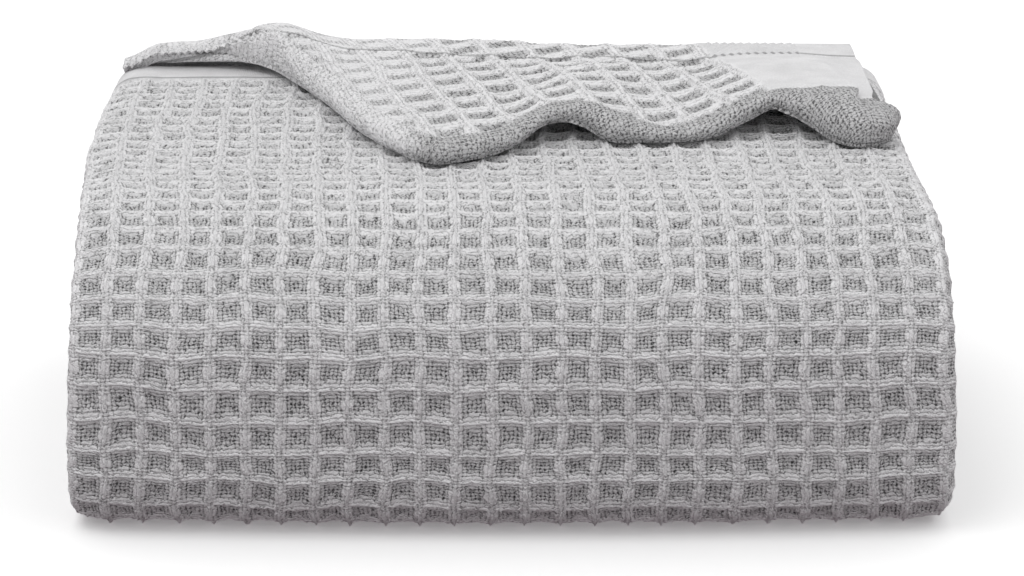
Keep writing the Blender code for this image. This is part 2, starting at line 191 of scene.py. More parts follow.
# Top of the ridges over the sheet's middle, the recesses below it and how uneven they are, the
# back face, and the waves of the inner layers
RIDGE_LIFT = 0.0026
RECESS_DEPTH = {"by": 0.0029, "uneven": 0.3, "seed": 3}
BACK_LIFT = 0.0022
INNER_WAVE = 0.0014

# A cell's profile: how steeply its lengthwise and crosswise ridges fall, how high the crosswise
# ones stand, and the dip where they cross
RIDGE_SHAPE = {"lengthwise": 2.4, "crosswise": 2.2, "height": 0.54, "dip": 0.25, "dip_fall": 5}

# Yarns in the mesh: their way over and under, their roundness and unevenness
YARN = {"crimp": 0.0013, "round": 0.0006, "uneven": 0.0002, "seed": 5}

# How far the cells lie out of line, in cells, over how many cells that changes, and the share
# of it that changes from cell to cell
WANDER = {"by": 0.10, "long": 2.5, "short": 1.6, "fine": 0.5, "seeds": ((11, 12), (13, 14))}
NOISE_SIZE = 64
SMALLEST = 1e-12

# The cloth's side edges: the share of the weave's relief that is left on the outermost cell, and
# the rounding of the sheet's thickness
EDGE_RELIEF = 0.45
SELVEDGE = {"round": 0.003, "least": 0.3}

# The hems: their width as the photo shows it, how soon the weave begins, their height over the
# solid's sheet, the sewn line, and the slanting ribs on the page's hem
HEM_SHOWN = 0.0285
HEM_FADE = 0.001
HEM_LIFT = 0.0004
STITCH = {"from_edge": 0.0270, "width": 0.0009, "depth": 0.0006}
HEM_RIBS = {"from_x": 0.100, "to_x": 0.146, "pitch": 0.0042, "slant": 0.6, "height": 0.0005}
FAR_FROM_HEM = 1.0

# Lowest places of the faces inside the stack and of the underside's inner face
LOWEST_INNER = 0.0002
LOWEST_OUTER_BACK = 0.0005

# What a stretch's points carry for the material, besides their fabric places
SHARES = ("plain", "grain", "sewn", "page")

# Pixel rows of the crosswise ridges down the photograph's middle, from the top's front to the
# foot, and the height over the sheet's middle at which the camera sees them. Then the samples
# and the rounding of their lengths along the cloth, how many of the outer layer's points lie
# underneath, and the cells behind and after those ridges
RIDGE_ROWS = (172, 178, 186, 197, 209, 226, 247, 272, 299, 329, 360, 393, 426, 458, 485, 512)
RIDGE_SEEN = 0.0030
RIDGE_SAMPLES, RIDGE_DIGITS = 6000, 4
UNDERSIDE_POINTS = 4
CELLS_BEHIND = 15
CELLS_AFTER = 19

# The outer layer's stretches, in cells: how far the left one at the back goes across, and how
# far each goes along the cloth. Then the points to a cell, where the weave shows, where the
# page hides it and elsewhere, for how many of them the back faces have one, and how far in from
# the sides the inner layers have that many
LEFT_CELLS = 12
BACK_CELLS, TOP_CELLS, FRONT_CELLS = 10, 20, 33
FINE, HALF_FINE, COARSE = 16, 8, 4
BACK_STEP, COARSE_BACK_STEP = 8, 2
INNER_EDGE_CELLS = 2

# The page's cells are pulled wide and askew: one cell across and one along, in plan, the middle
# of one of them, and the line where the plain side band begins
PAGE_CELL = {"across": (0.0193, 0.0120), "along": (0.0048, -0.0185), "at": (-0.0104, 0.0814)}
BAND_FROM, BAND_TO = (0.1036, 0.1150), (0.1206, 0.0380)
BAND_FADE = 0.003
PAGE_WANDER = {"by": 0.12, "over": 1.7, "seeds": (21, 22)}
PAGE_POINTS = {"under": (81, 241), "edge": (33, 545), "top": (169, 545)}
PAGE_RIDGE_LIFT = 0.0024

# The page's hem: distances from its end are read shorter, which makes it wider than the outer
# layer's, its height over the sheet, the relief it takes away, and the hollow beside it
PAGE_HEM_SHARE = 0.88
PAGE_HEM_LIFT = 0.0005
PAGE_HEM_FLATTER = 0.6
PAGE_DIP = {"by": 0.0016, "over": 0.012, "from_x": -0.060, "fade": 0.04}

# The page's upper face lies lower than the solid's, more so at the left
PAGE_SINK = {"left": 0.0012, "right": 0.0007, "from_x": -0.100, "over": 0.030}

# The page's left end: how far and where it drops, how its underside rises towards the crest of
# its edge, and the share of the sheet's thickness that is left
PAGE_END_DROP = {"by": 0.0065, "from_x": -0.2005, "over": 0.020, "above": 0.1395}
PAGE_END_SQUEEZE = {"by": 0.75, "to_x": -0.120, "over": 0.030, "within": 0.009, "fades": 0.008}
PAGE_END_THIN = 0.7

# The page's turned edge: how soon its cells open behind the crest, the relief left on its rim, how
# open the cells are at the left, where they are pulled flat, the grain that shows on the rim
# instead of them, from its share at the left to all of it, which also sets how much painted shade
# the rim gets, and ribs round the rim's left
CREST_FADE = 0.006
RIM_RELIEF = 0.45
CELLS_OPEN = {"least": 0.35, "from_x": -0.075, "over": 0.06}
GRAIN = {"left": 0.16, "from_x": -0.055, "over": 0.02, "flatter": 0.4}
RIM_RIBS = {"pitch": 0.0040, "height": 0.0009, "to_x": -0.040, "fade": 0.02}

# Noise in the cotton, as its scale and detail: fibres, soft patches, uneven places, and the
# sideways bends of the yarns with their size in threads
FIBRES, PATCHES, UNEVEN = (1400.0, 3.0), (28.0, 2.0), (90.0, 1.0)
BENDS_ACROSS = {(420.0, 1.0): 1.3, (1100.0, 0.0): 0.7}
BENDS_ALONG = {(380.0, 1.0): 1.3, (1000.0, 0.0): 0.7}

# Yarns in the material: the share of their height that comes from lying on top, the height of the
# fibres on them, their finer grain on the turned edge and on the plain border, and the depth of it
# all; their height also sets the painted light on their tops and the painted shade between them,
# and the plain border has its own tone with a little of that painted light
LIFT_SHARE = 0.62
FIBRE_RELIEF = 0.5
EDGE_GRAIN = {"finer": 1.2, "from": 0.10, "to": 0.8, "relief": 0.75, "level": 0.22}
BORDER = {"finer": 2, "relief": 0.25, "level": 0.7, "tone": 0.80, "lit": 0.05}
BUMP = 0.0012

# Painted shade in a cell's recess, as shade would fall there: its reach across and along, how the
# page changes it, how its outline falls off, and its share where cells are pulled flat and where
# only grain shows, which paints the same shade over the turned edge's rim
PAINTED_RECESS_SHADE = {"across": 0.71, "along": 0.90, "page_across": 0.09, "page_along": 0.32, "corners": 3}
PAINTED_SHADE_FADE = {"uneven": 1.4, "fibres": 1.2, "from": 0.1, "to": 1.9}
PAINTED_SHADE_FLATTENED = 0.7
PAINTED_SHADE_ON_GRAIN = 0.86

# Tones, as shares of the cotton's colour, with light and shade painted in: between which heights a
# yarn goes from painted shade in its gaps to painted light on its top, the tone of ridges and
# recesses in that painted shade and what the painted light adds, how much more painted shade the
# page's recesses get, the seam's width and how dark it is, and how much each noise mottles them
LIT_FROM, LIT_TO = 0.40, 0.90
RIDGE_PAINTED_LIGHT_AND_SHADE = {"dark": 0.51, "lit": 0.60}
RECESS_PAINTED_SHADE_TONE = {"dark": 0.01, "lit": 0.80, "page_painted_shade": 0.22}
SEAM = {"from": 0.0008, "to": 0.0020, "darker": 0.5}
PATCHES_BY, UNEVEN_BY, FIBRES_BY = 0.1, 0.24, 0.44
COTTON_COLOUR = (0.805, 0.80, 0.81, 1.0)

# The studio: a white floor, a sky that is even above the horizon and weaker and warm below it,
# and one soft lamp at the upper left
FLOOR = {"size": 80, "white": (0.9, 0.9, 0.9, 1.0), "glow": 0.18}
SKY = {"From Min": -0.25, "From Max": 0.0, "To Min": 0.15, "To Max": 1.0}
WHITE_ABOVE = (1, 1, 1, 1)
WARM_BELOW = (1.0, 0.74, 0.85, 1.0)
LAMP = {"at": (-0.55, -0.75, 1.7), "side": 0.9, "energy": 6.5, "turned": (25, -18)}

# The photograph's view, in the part's frame before it is centred, and its size in pixels
CAMERA = {"y": -1.472, "z": 0.4935, "pitch": math.radians(16), "lens": 112.5, "sensor": 36}
IMAGE_WIDTH, IMAGE_HEIGHT = 1024, 576


def through(keys, values, at):
    """A smooth curve through the values at their keys, read at one place."""
    at = min(max(at, keys[0]), keys[-1])
    right = min(max(int(np.searchsorted(keys, at)), 1), len(keys) - 1)
    left = right - 1

    def slope(index):
        before, after = max(index - 1, 0), min(index + 1, len(keys) - 1)
        return (values[after] - values[before]) / (keys[after] - keys[before])

    span = keys[right] - keys[left]
    t = (at - keys[left]) / span
    return (
        values[left] * (1 + 2 * t) * (1 - t) ** 2
        + slope(left) * span * t * (1 - t) ** 2
        + values[right] * t * t * (3 - 2 * t)
        + slope(right) * span * t * t * (t - 1)
    )


def column_of(table, name):
    return [row[name] for row in table]


def eased(t):
    t = np.clip(t, 0.0, 1.0)
    return t * t * (3 - 2 * t)


def mixed(a, b, t):
    return a + (b - a) * t


def side_x(side, y, z):
    """The stack's left or right edge, a little wider low down, where the layers sag."""
    t = eased((y - FRONT_Y) / (WIDE_Y - FRONT_Y))
    sag = side * SAG_OUT * (1 - eased(z / SAG_HEIGHT))
    if side < 0:
        return mixed(LEFT_FRONT, LEFT_BACK, t) + sag
    return mixed(RIGHT_FRONT, RIGHT_BACK, t) + sag


def bowed(x, y):
    """The front bows back towards its two ends."""
    ends = FRONT_BOW["left"] if x < 0 else FRONT_BOW["right"]
    share = eased((y - FRONT_BOW["from_y"]) / (FRONT_BOW["to_y"] - FRONT_BOW["from_y"]))
    return y + ends * (x / RIGHT_FRONT) ** 2 * share


def row_across(y, z, normal, outer, left_in=0.0, right_in=0.0):
    """Points across one line of the cloth. With outer at 1 the edge strips curl in round the
    stack, against the normal, and with outer at 0 they lie flat and drawn in."""
    points = []
    last = COLUMNS - EDGE_COLUMNS
    curl = EDGE_CURL * outer
    reach = EDGE_STRIP if curl < FLAT_CURL else EDGE_STRIP * math.sin(curl) / curl
    drawn_in = OUTER_TO_INNER_EDGE * (1 - outer)
    left = side_x(-1, y, z) + reach + drawn_in + left_in
    right = side_x(1, y, z) - reach - drawn_in - right_in
    for column in range(COLUMNS + 1):
        x = mixed(left, right, min(max((column - EDGE_COLUMNS) / (last - EDGE_COLUMNS), 0), 1))
        side = -1 if column < EDGE_COLUMNS else 1
        strip = max(EDGE_COLUMNS - column, column - last, 0) / EDGE_COLUMNS * EDGE_STRIP
        inset = 0.0
        if strip and curl < FLAT_CURL:
            x += side * strip
        elif strip:
            radius = EDGE_STRIP / curl
            x += side * radius * math.sin(strip / radius)
            inset = radius * (1 - math.cos(strip / radius))
        py, pz = y - normal[0] * inset, z - normal[1] * inset
        points.append((x, bowed(x, py), pz))
    return points


def outer_rows():
    """The outer layer, from the first hem to the back of the underside."""
    rows = []
    line = OUTER_LAYER
    for index, (y, z) in enumerate(line):
        before, after = line[max(index - 1, 0)], line[min(index + 1, len(line) - 1)]
        dy, dz = after[0] - before[0], after[1] - before[1]
        length = math.hypot(dy, dz)
        rows.append(row_across(y, z, (dz / length, -dy / length), 1.0))
    end = UNDERSIDE_BACK
    edges = (end["left_in"], end["right_in"])
    rows.append(row_across(end["y"], SHEET / 2, (0, -1), end["curl"], *edges))
    return rows


def outer_top(y):
    """Height of the outer layer's upper face."""
    flat = [row for row in OUTER_LAYER if row[1] > LOWEST_TOP][::-1]
    return through([row[0] for row in flat], [row[1] for row in flat], y) + SHEET / 2


def layer_z(layer, y):
    """Height of an inner layer's middle, with the underside as layer 0."""
    t = eased((y - FRONT_Y) / (PAGE_BACK_Y - FRONT_Y))
    top = mixed(LAYERS_TOP["front"], LAYERS_TOP["back"], t)
    return SHEET / 2 + (top - SHEET / 2) * layer / (INNER_LAYERS + 1)


def turn_points(nose_y, low_z, high_z, side):
    """A turn between two layers, from the lower to the upper, with its nose at nose_y."""
    radius = (high_z - low_z) / 2
    points = []
    for step in range(TURN_STEPS + 1):
        angle = math.pi * (step / TURN_STEPS - 0.5)
        y = nose_y - side * radius * (1 - math.cos(angle))
        points.append((y, (low_z + high_z) / 2 + radius * math.sin(angle)))
    return points


def front_nose(low_z, high_z):
    """The most forward place for a front turn that stays clear of the outer layer."""
    wall = [(y, z) for y, z in OUTER_LAYER if y < TURN_SEARCH["from_y"]]
    samples = []
    for (y0, z0), (y1, z1) in zip(wall, wall[1:]):
        for share in np.linspace(0, 1, TURN_SEARCH["samples"] + 1):
            samples.append((mixed(y0, y1, share), mixed(z0, z1, share)))
    nose = TURN_SEARCH["from_y"]
    while min(
        math.dist(place, sample)
        for place in turn_points(nose - TURN_SEARCH["step"], low_z, high_z, -1)
        for sample in samples
    ) > SHEET + 2 * LEAST_GAP:
        nose -= TURN_SEARCH["step"]
    return nose


def inner_rows():
    """The zigzag, from the back of the underside to the back end of the highest layer."""
    line = []
    low, high = layer_z(0, FIRST_BACK_TURN), layer_z(1, FIRST_BACK_TURN)
    first = INNER_FOLD[0]
    for y, z in turn_points(FIRST_BACK_TURN, low, high, 1):
        line.append((y, z, first["left_in"], first["right_in"]))
    for layer in range(1, INNER_LAYERS + 1):
        fold = INNER_FOLD[layer - 1]
        edges = (fold["left_in"], fold["right_in"])
        forward = layer % 2 == 1
        start_y = line[-1][0]
        if forward:
            low, high = layer_z(layer, FRONT_Y), layer_z(layer + 1, FRONT_Y)
            turn = turn_points(front_nose(low, high) + fold["turn"], low, high, -1)
        elif layer < INNER_LAYERS:
            low, high = layer_z(layer, fold["turn"]), layer_z(layer + 1, fold["turn"])
            turn = turn_points(fold["turn"], low, high, 1)
        else:
            turn = [(PAGE_BACK_Y, layer_z(layer, PAGE_BACK_Y))]
        for step in range(1, LAYER_STEPS):
            y = mixed(start_y, turn[0][0], step / LAYER_STEPS)
            line.append((y, layer_z(layer, y), *edges))
        following = INNER_FOLD[min(layer, INNER_LAYERS - 1)]
        for step, (y, z) in enumerate(turn):
            t = step / max(len(turn) - 1, 1)
            left_in = mixed(edges[0], following["left_in"], t)
            right_in = mixed(edges[1], following["right_in"], t)
            line.append((y, z, left_in, right_in))
    return [row_across(y, z, (0, 1), 0.0, left, right) for y, z, left, right in line]


def page_edge(column):
    """The turned-down edge at one column: its place, its outward direction in plan, and the
    heights of its foot and its crest."""
    xs, ys = column_of(PAGE_EDGE, "x"), column_of(PAGE_EDGE, "y")
    along = [0.0]
    for index in range(1, len(xs)):
        step = math.hypot(xs[index] - xs[index - 1], ys[index] - ys[index - 1])
        along.append(along[-1] + step)
    at = along[-1] * column / COLUMNS
    place = np.array([through(along, xs, at), through(along, ys, at)])
    ahead = min(at + EDGE_WINDOW, along[-1])
    behind = max(at - EDGE_WINDOW, 0.0)
    way = np.array(
        [
            through(along, xs, ahead) - through(along, xs, behind),
            through(along, ys, ahead) - through(along, ys, behind),
        ]
    )
    outward = np.array([way[1], -way[0]]) / np.hypot(*way)
    foot = through(along, column_of(PAGE_EDGE, "foot"), at)
    foot = max(foot, outer_top(place[1]) + LEAST_GAP) + SHEET / 2
    crest = through(along, column_of(PAGE_EDGE, "crest"), at) - SHEET / 2
    return place, outward, foot, crest, through(along, column_of(PAGE_EDGE, "behind"), at)


def page_rows(turn_from):
    """The page on top: up round the first end at the back, forward, over the turned-down edge
    and back to the second hem. Also each column's outward direction."""
    columns = []
    outwards = []
    xs = column_of(PAGE_BACK, "x")
    for column in range(COLUMNS + 1):
        place, outward, foot, crest, behind = page_edge(column)
        back_x = mixed(xs[0], xs[-1], column / COLUMNS)
        lift = through(xs, column_of(PAGE_BACK, "lift"), back_x)
        rest = SHEET / 2 + LEAST_GAP
        low_back = np.array([back_x, PAGE_BACK_Y, outer_top(PAGE_BACK_Y) + rest + lift])
        top_z = through(xs, column_of(PAGE_BACK, "top"), back_x) - SHEET / 2
        top_back = np.array([back_x, PAGE_TOP_BACK_Y, top_z])
        half = (crest - foot) / 2
        under = min(half, EDGE_UNDER)

        # Up round the first end
        start = np.array(turn_from[column])
        middle, reach = (start + low_back) / 2, (low_back - start) / 2
        points = []
        for step in range(1, PAGE_TURN_STEPS):
            angle = math.pi * (step / PAGE_TURN_STEPS - 0.5)
            bulge = np.array([0, np.linalg.norm(reach) * math.cos(angle), 0])
            points.append(middle + reach * math.sin(angle) + bulge)

        # Forward underneath
        low_front = np.append(place - outward * under, foot)
        front_lift = foot - outer_top(low_front[1]) - rest
        for step in range(LOWER_PAGE_STEPS):
            t = step / LOWER_PAGE_STEPS
            x, y = mixed(low_back[:2], low_front[:2], t)
            z = outer_top(y) + rest + mixed(lift, front_lift, t**2)
            points.append(np.array([x, y, z]))

        # Round the edge
        for step in range(EDGE_STEPS + 1):
            angle = math.pi * (step / EDGE_STEPS - 0.5)
            depth = under if angle < 0 else behind
            plan = place - outward * depth * (1 - math.cos(angle))
            points.append(np.append(plan, (foot + crest) / 2 + half * math.sin(angle)))

        # Back to the hem, whose two rows bound its thicker strip
        crest_point = points[-1]
        length = np.linalg.norm(top_back - crest_point)
        hem = max(1 - HEM_WIDTH / length, LEAST_BEFORE_HEM)
        shares = [hem * step / UPPER_PAGE_STEPS for step in range(1, UPPER_PAGE_STEPS + 1)]
        for t in shares + [mixed(hem, 1, HEM_STEP), 1]:
            point = mixed(crest_point, top_back, t)
            point[2] += PAGE_CROWN * math.sin(math.pi * t)
            points.append(point)
        columns.append(points)
        outwards.append(outward)
    return np.array(columns).transpose(1, 0, 2), np.array(outwards)


# Sheets between those lines

def smooth(keys, values, at):
    """A smooth curve through arrays of values at their keys, read at many places."""
    keys, values = np.asarray(keys, float), np.asarray(values, float)
    shape = (-1,) + (1,) * (values.ndim - 1)
    gaps = np.diff(keys).reshape(shape)
    chords = np.diff(values, axis=0) / gaps
    slopes = np.concatenate([chords[:1], np.zeros_like(chords[:-1]), chords[-1:]])
    slopes[1:-1] = (chords[1:] * gaps[:-1] + chords[:-1] * gaps[1:]) / (gaps[1:] + gaps[:-1])
    at = np.clip(at, keys[0], keys[-1])
    right = np.clip(np.searchsorted(keys, at), 1, len(keys) - 1)
    left = right - 1
    span = (keys[right] - keys[left]).reshape(shape)
    t = (at - keys[left]).reshape(shape) / span
    return (
        values[left] * (1 + 2 * t) * (1 - t) ** 2
        + slopes[left] * span * t * (1 - t) ** 2
        + values[right] * t * t * (3 - 2 * t)
        + slopes[right] * span * t * t * (t - 1)
    )


def lengths_along(line):
    """Length along a line of points, up to each of them."""
    return np.append(0, np.cumsum(np.linalg.norm(np.diff(line, axis=0), axis=1)))


def column_keys():
    """Fabric place across the cloth, in cells, of each column of the part's rows."""
    strip = EDGE_STRIP / CELL
    keys = [0, EDGE_COLUMNS, COLUMNS - EDGE_COLUMNS, COLUMNS]
    return np.interp(range(COLUMNS + 1), keys, [0, strip, CELLS_ACROSS - strip, CELLS_ACROSS])


def across(rows, u):
    """Rows of the part, read at fabric places u across the cloth."""
    return smooth(column_keys(), np.swapaxes(rows, 0, 1), u).swapaxes(0, 1)


def steps_between(start, stop, samples):
    """Evenly spaced places from start to stop, in cells, with so many to a cell."""
    return start + np.arange(round((stop - start) * samples) + 1) / samples


def lattice_noise(u, v, seed):
    """Soft noise from -1 to 1 that changes over about one unit of u and v."""
    table = np.random.default_rng(seed).uniform(-1, 1, (NOISE_SIZE, NOISE_SIZE))
    i, j = np.floor(u).astype(int), np.floor(v).astype(int)
    s, t = eased(u - i), eased(v - j)
    left, low = i % NOISE_SIZE, j % NOISE_SIZE
    right, high = (i + 1) % NOISE_SIZE, (j + 1) % NOISE_SIZE
    near = mixed(table[left, low], table[right, low], s)
    far = mixed(table[left, high], table[right, high], s)
    return mixed(near, far, t)


def warp_up(end, pick):
    """1 where the lengthwise yarn lies on top in the waffle draft, else 0."""
    a = np.abs(end % THREADS - THREADS // 2)
    b = np.abs(pick % THREADS - THREADS // 2)
    return ((a - b >= 2) | (a == b)).astype(float)


def yarn_height(u, v):
    """Height of the yarns over the cloth's ground, with ridges at whole u and v."""
    x, y = u * THREADS, v * THREADS
    end, pick = np.floor(x + 0.5), np.floor(y + 0.5)
    left, low = np.floor(x), np.floor(y)
    warp = mixed(warp_up(end, low), warp_up(end, low + 1), eased(y - low))
    weft = 1 - mixed(warp_up(left, pick), warp_up(left + 1, pick), eased(x - left))
    over_warp = 1 - (2 * (x - end)) ** 2
    over_weft = 1 - (2 * (y - pick)) ** 2
    return np.maximum(
        warp * YARN["crimp"] + over_warp * YARN["round"],
        weft * YARN["crimp"] + over_weft * YARN["round"],
    )


def ridges(u, v):
    """1 along the cell's ridges, falling to 0 in the middle of its recess. The lengthwise
    ridges are broad, the crosswise ones narrow, and both dip where they cross."""
    shape = RIDGE_SHAPE
    a, b = np.abs(u % 1 - 0.5) * 2, np.abs(v % 1 - 0.5) * 2
    crosswise = shape["height"] * b ** shape["crosswise"]
    dip = shape["dip"] * (a * b) ** shape["dip_fall"]
    return 1 - (1 - a ** shape["lengthwise"]) * (1 - crosswise) - dip


def waffle_lift(u, v, top):
    """Height of the waffle weave over the sheet's middle, with its ridges' top."""
    rough = RECESS_DEPTH["uneven"] * lattice_noise(u, v, RECESS_DEPTH["seed"])
    depth = RECESS_DEPTH["by"] * (1 + rough)
    uneven = np.random.default_rng(YARN["seed"]).normal(0, YARN["uneven"], u.shape)
    yarn_top = YARN["crimp"] + YARN["round"]
    return top - depth * (1 - ridges(u, v)) + yarn_height(u, v) - yarn_top + uneven


def normals_of(grid):
    """Unit normals of a grid of points, by its rows and columns."""
    by_row, by_column = np.gradient(grid, axis=0), np.gradient(grid, axis=1)
    normal = np.cross(by_row, by_column)
    return normal / np.maximum(np.linalg.norm(normal, axis=2, keepdims=True), SMALLEST)


def wandered(grid, u, v, samples):
    """The grid with its cells a little out of line, as soft cloth lies."""
    by_row, by_column = np.gradient(grid, axis=0), np.gradient(grid, axis=1)
    long, short, (seeds_u, seeds_v) = WANDER["long"], WANDER["short"], WANDER["seeds"]

    def drift(over_u, over_v, seeds):
        broad = lattice_noise(u / over_u, v / over_v, seeds[0])
        return WANDER["by"] * (broad + WANDER["fine"] * lattice_noise(u, v, seeds[1]))

    du, dv = drift(long, short, seeds_u), drift(short, long, seeds_v)
    return grid + (by_row * dv[..., None] + by_column * du[..., None]) * samples


def sheet_mesh(name, front, back, maps, step, turned):
    """A closed sheet: a fine face, a back face with every step-th point, and its rim. maps
    holds, at the fine points, the fabric places, the share of plain weave, the share where only
    the weave's grain shows, the distance from the hem's end, and 0 off the page, 1 on it and up
    to 2 where its cells are pulled flat."""
    rows, columns = front.shape[:2]
    thin = (slice(None, None, step), slice(None, None, step))
    near = np.arange(rows * columns).reshape(rows, columns)
    far_shape = near[thin].shape
    far = rows * columns + np.arange(far_shape[0] * far_shape[1]).reshape(far_shape)

    def quads(grid):
        corners = [grid[:-1, :-1], grid[1:, :-1], grid[1:, 1:], grid[:-1, 1:]]
        return np.stack(corners, axis=-1).reshape(-1, 4)

    faces = quads(near).tolist() + quads(far)[:, ::-1].tolist()
    rims = [
        (near[0], far[0], 1),
        (near[-1], far[-1], -1),
        (near[:, 0], far[:, 0], -1),
        (near[:, -1], far[:, -1], 1),
    ]
    for edge, inner, way in rims:
        for k in range(len(inner) - 1):
            face = [*edge[k * step : (k + 1) * step + 1], inner[k + 1], inner[k]]
            faces.append([int(index) for index in face][::way])
    if turned:
        faces = [face[::-1] for face in faces]
    points = np.concatenate([front.reshape(-1, 3), back[thin].reshape(-1, 3)])
    mesh = bpy.data.meshes.new(name)
    mesh.from_pydata(points.tolist(), [], faces)
    u, v, *shares = (np.concatenate([m.ravel(), m[thin].ravel()]) for m in maps)
    corners = np.empty(len(mesh.loops), dtype=np.int32)
    mesh.loops.foreach_get("vertex_index", corners)
    places = np.stack([u, v], axis=1)[corners]
    mesh.uv_layers.new(name="weave").data.foreach_set("uv", places.astype(np.float32).ravel())
    for label, values in zip(SHARES, shares):
        mesh.attributes.new(label, "FLOAT", "POINT").data.foreach_set("value", values)
    mesh.shade_smooth()
    return mesh


def add_cloth(name, mesh):
    """One stretch of the cloth as a piece that stands for the CAD solid."""
    piece = bpy.data.objects.new(name, mesh)
    bpy.context.scene.collection.objects.link(piece)
    piece.data.materials.append(COTTON)
    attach(piece, "root")
    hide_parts("throw_blanket")
    return piece


def selvedge(u):
    """Share of the full thickness near the cloth's side edges, which are rounded."""
    inside = np.minimum(u, CELLS_ACROSS - u) * CELL / SELVEDGE["round"]
    return mixed(SELVEDGE["least"], 1, np.sqrt(1 - (1 - np.clip(inside, 0, 1)) ** 2))


def ridge_lines():
    """Length along the outer layer, from its hem, of the crosswise ridges that the photo shows,
    from the pixel rows at which the camera sees them."""
    line = np.array(OUTER_LAYER)
    keys = lengths_along(line)
    along = np.linspace(0, keys[-UNDERSIDE_POINTS], RIDGE_SAMPLES)
    middle = smooth(keys, line, along)
    way = np.gradient(middle, axis=0)
    way /= np.linalg.norm(way, axis=1)[:, None]
    face = middle + RIDGE_SEEN * np.stack([way[:, 1], -way[:, 0]], axis=1)
    away, above = face[:, 0] - CAMERA["y"], face[:, 1] - CAMERA["z"]
    cos, sin = math.cos(CAMERA["pitch"]), math.sin(CAMERA["pitch"])
    pixels = IMAGE_WIDTH * CAMERA["lens"] / CAMERA["sensor"]
    seen = IMAGE_HEIGHT / 2 - pixels * (away * sin + above * cos) / (away * cos - above * sin)
    places = [np.flatnonzero((seen[:-1] - row) * (seen[1:] - row) <= 0)[-1] for row in RIDGE_ROWS]
    return np.round(along[places], RIDGE_DIGITS)


def length_at(v):
    """Length along the outer layer, from its hem, at fabric places v along it, in cells."""
    first = CELLS_BEHIND + RIDGE_AT_V
    count = len(RIDGE_LINES)
    beyond = np.arange(1, CELLS_AFTER + 1)
    keys = np.concatenate([[0], first + np.arange(count), first + count - 1 + beyond])
    lengths = np.concatenate([[0], RIDGE_LINES, RIDGE_LINES[-1] + beyond * CELL])
    return smooth(keys, lengths, v)


def hem_stitch(from_edge):
    """Depth of the hem's sewn line, by the distance from the hem's end."""
    return STITCH["depth"] * np.exp(-(((from_edge - STITCH["from_edge"]) / STITCH["width"]) ** 2))


def outer_stretch(name, rows, across_cells, along_cells, samples, step, relief):
    """A stretch of the outer layer between fabric places across and along the cloth."""
    u_line, v_line = (steps_between(*span, samples) for span in (across_cells, along_cells))
    along = np.minimum(length_at(v_line), lengths_along(rows[:, COLUMNS // 2])[-1])
    grid = across(smooth(lengths_along(rows[:, COLUMNS // 2]), rows, along), u_line)
    u, v = np.meshgrid(u_line, v_line)
    weave_u, weave_v = u - RIDGE_AT_U, v - RIDGE_AT_V
    from_edge = np.broadcast_to(along[:, None], u.shape)
    hem = 1 - eased((from_edge - HEM_SHOWN) / HEM_FADE)
    grid = wandered(grid, weave_u, weave_v, samples)
    normal = normals_of(grid)
    flat = SHEET / 2 + HEM_LIFT
    depth = mixed(EDGE_RELIEF, 1, eased(np.minimum(u, CELLS_ACROSS - u))) * relief * (1 - hem)
    lift = mixed(flat, waffle_lift(weave_u, weave_v, RIDGE_LIFT), depth) - hem_stitch(from_edge)
    full = selvedge(u)[..., None]
    front = grid + normal * lift[..., None] * full
    front[..., 2] = np.maximum(front[..., 2], 0.0)
    back = grid - normal * BACK_LIFT * full
    back[..., 2] = np.maximum(back[..., 2], LOWEST_OUTER_BACK)
    front, back = (points - MIDDLE for points in (front, back))
    none = np.zeros_like(u)
    maps = (weave_u, weave_v, hem, none, from_edge, none)
    mesh = sheet_mesh(name, front, back, maps, step, False)
    return add_cloth(name, mesh)


def inner_stretch(name, rows, u_line, v_line):
    """A stretch of the zigzag, whose whole thickness waves with the cells."""
    keys = lengths_along(rows[:, COLUMNS // 2]) / CELL
    grid = across(smooth(keys, rows, v_line), u_line)
    u, v = np.meshgrid(u_line, v_line)
    weave_u, weave_v = u - RIDGE_AT_U, v - RIDGE_AT_V
    normal = normals_of(grid)
    wave = INNER_WAVE * (2 * ridges(weave_u, weave_v) - 1)
    full = selvedge(u)
    front = grid + normal * (wave + SHEET / 2 * full)[..., None] - MIDDLE
    back = grid + normal * (wave - SHEET / 2 * full)[..., None] - MIDDLE
    for face in (front, back):
        face[..., 2] = np.maximum(face[..., 2], LOWEST_INNER)
    none = np.zeros_like(u)
    maps = (weave_u, weave_v, none, none, none + FAR_FROM_HEM, none)
    mesh = sheet_mesh(name, front, back, maps, 1, False)
    return add_cloth(name, mesh)


# Materials


class Wire:
    """A socket in a material. Arithmetic on it adds Math nodes."""

    def __init__(self, material, socket):
        self.material, self.socket = material, socket

    def math(self, operation, *others):
        inputs = dict(enumerate((self, *others)))
        return self.material.node("ShaderNodeMath", {"operation": operation}, inputs)

    def __add__(self, other):
        return self.math("ADD", other)

    def __sub__(self, other):
        return self.math("SUBTRACT", other)

    def __rsub__(self, other):
        return (self * -1.0).math("ADD", other)

    def __mul__(self, other):
        return self.math("MULTIPLY", other)

    def __truediv__(self, other):
        return self.math("DIVIDE", other)

    def __mod__(self, other):
        return self.math("FLOORED_MODULO", other)

    def __pow__(self, other):
        return self.math("POWER", other)

    def __abs__(self):
        return self.math("ABSOLUTE")

    def __gt__(self, other):
        return self.math("GREATER_THAN", other)

    def __lt__(self, other):
        return self.math("LESS_THAN", other)

    __radd__ = __add__
    __rmul__ = __mul__

    def floor(self):
        return self.math("FLOOR")

    def or_more(self, other):
        return self.math("MAXIMUM", other)

    def toward(self, other, share):
        """This value, moved towards another by a share of the way."""
        return self + (other - self) * share

    def eased(self):
        return self * self * (3 - self * 2)

    def between(self, low, high):
        """0 at low and 1 at high, eased and held outside them."""
        settings = {"interpolation_type": "SMOOTHSTEP"}
        return self.material.node("ShaderNodeMapRange", settings, {0: self, 1: low, 2: high})


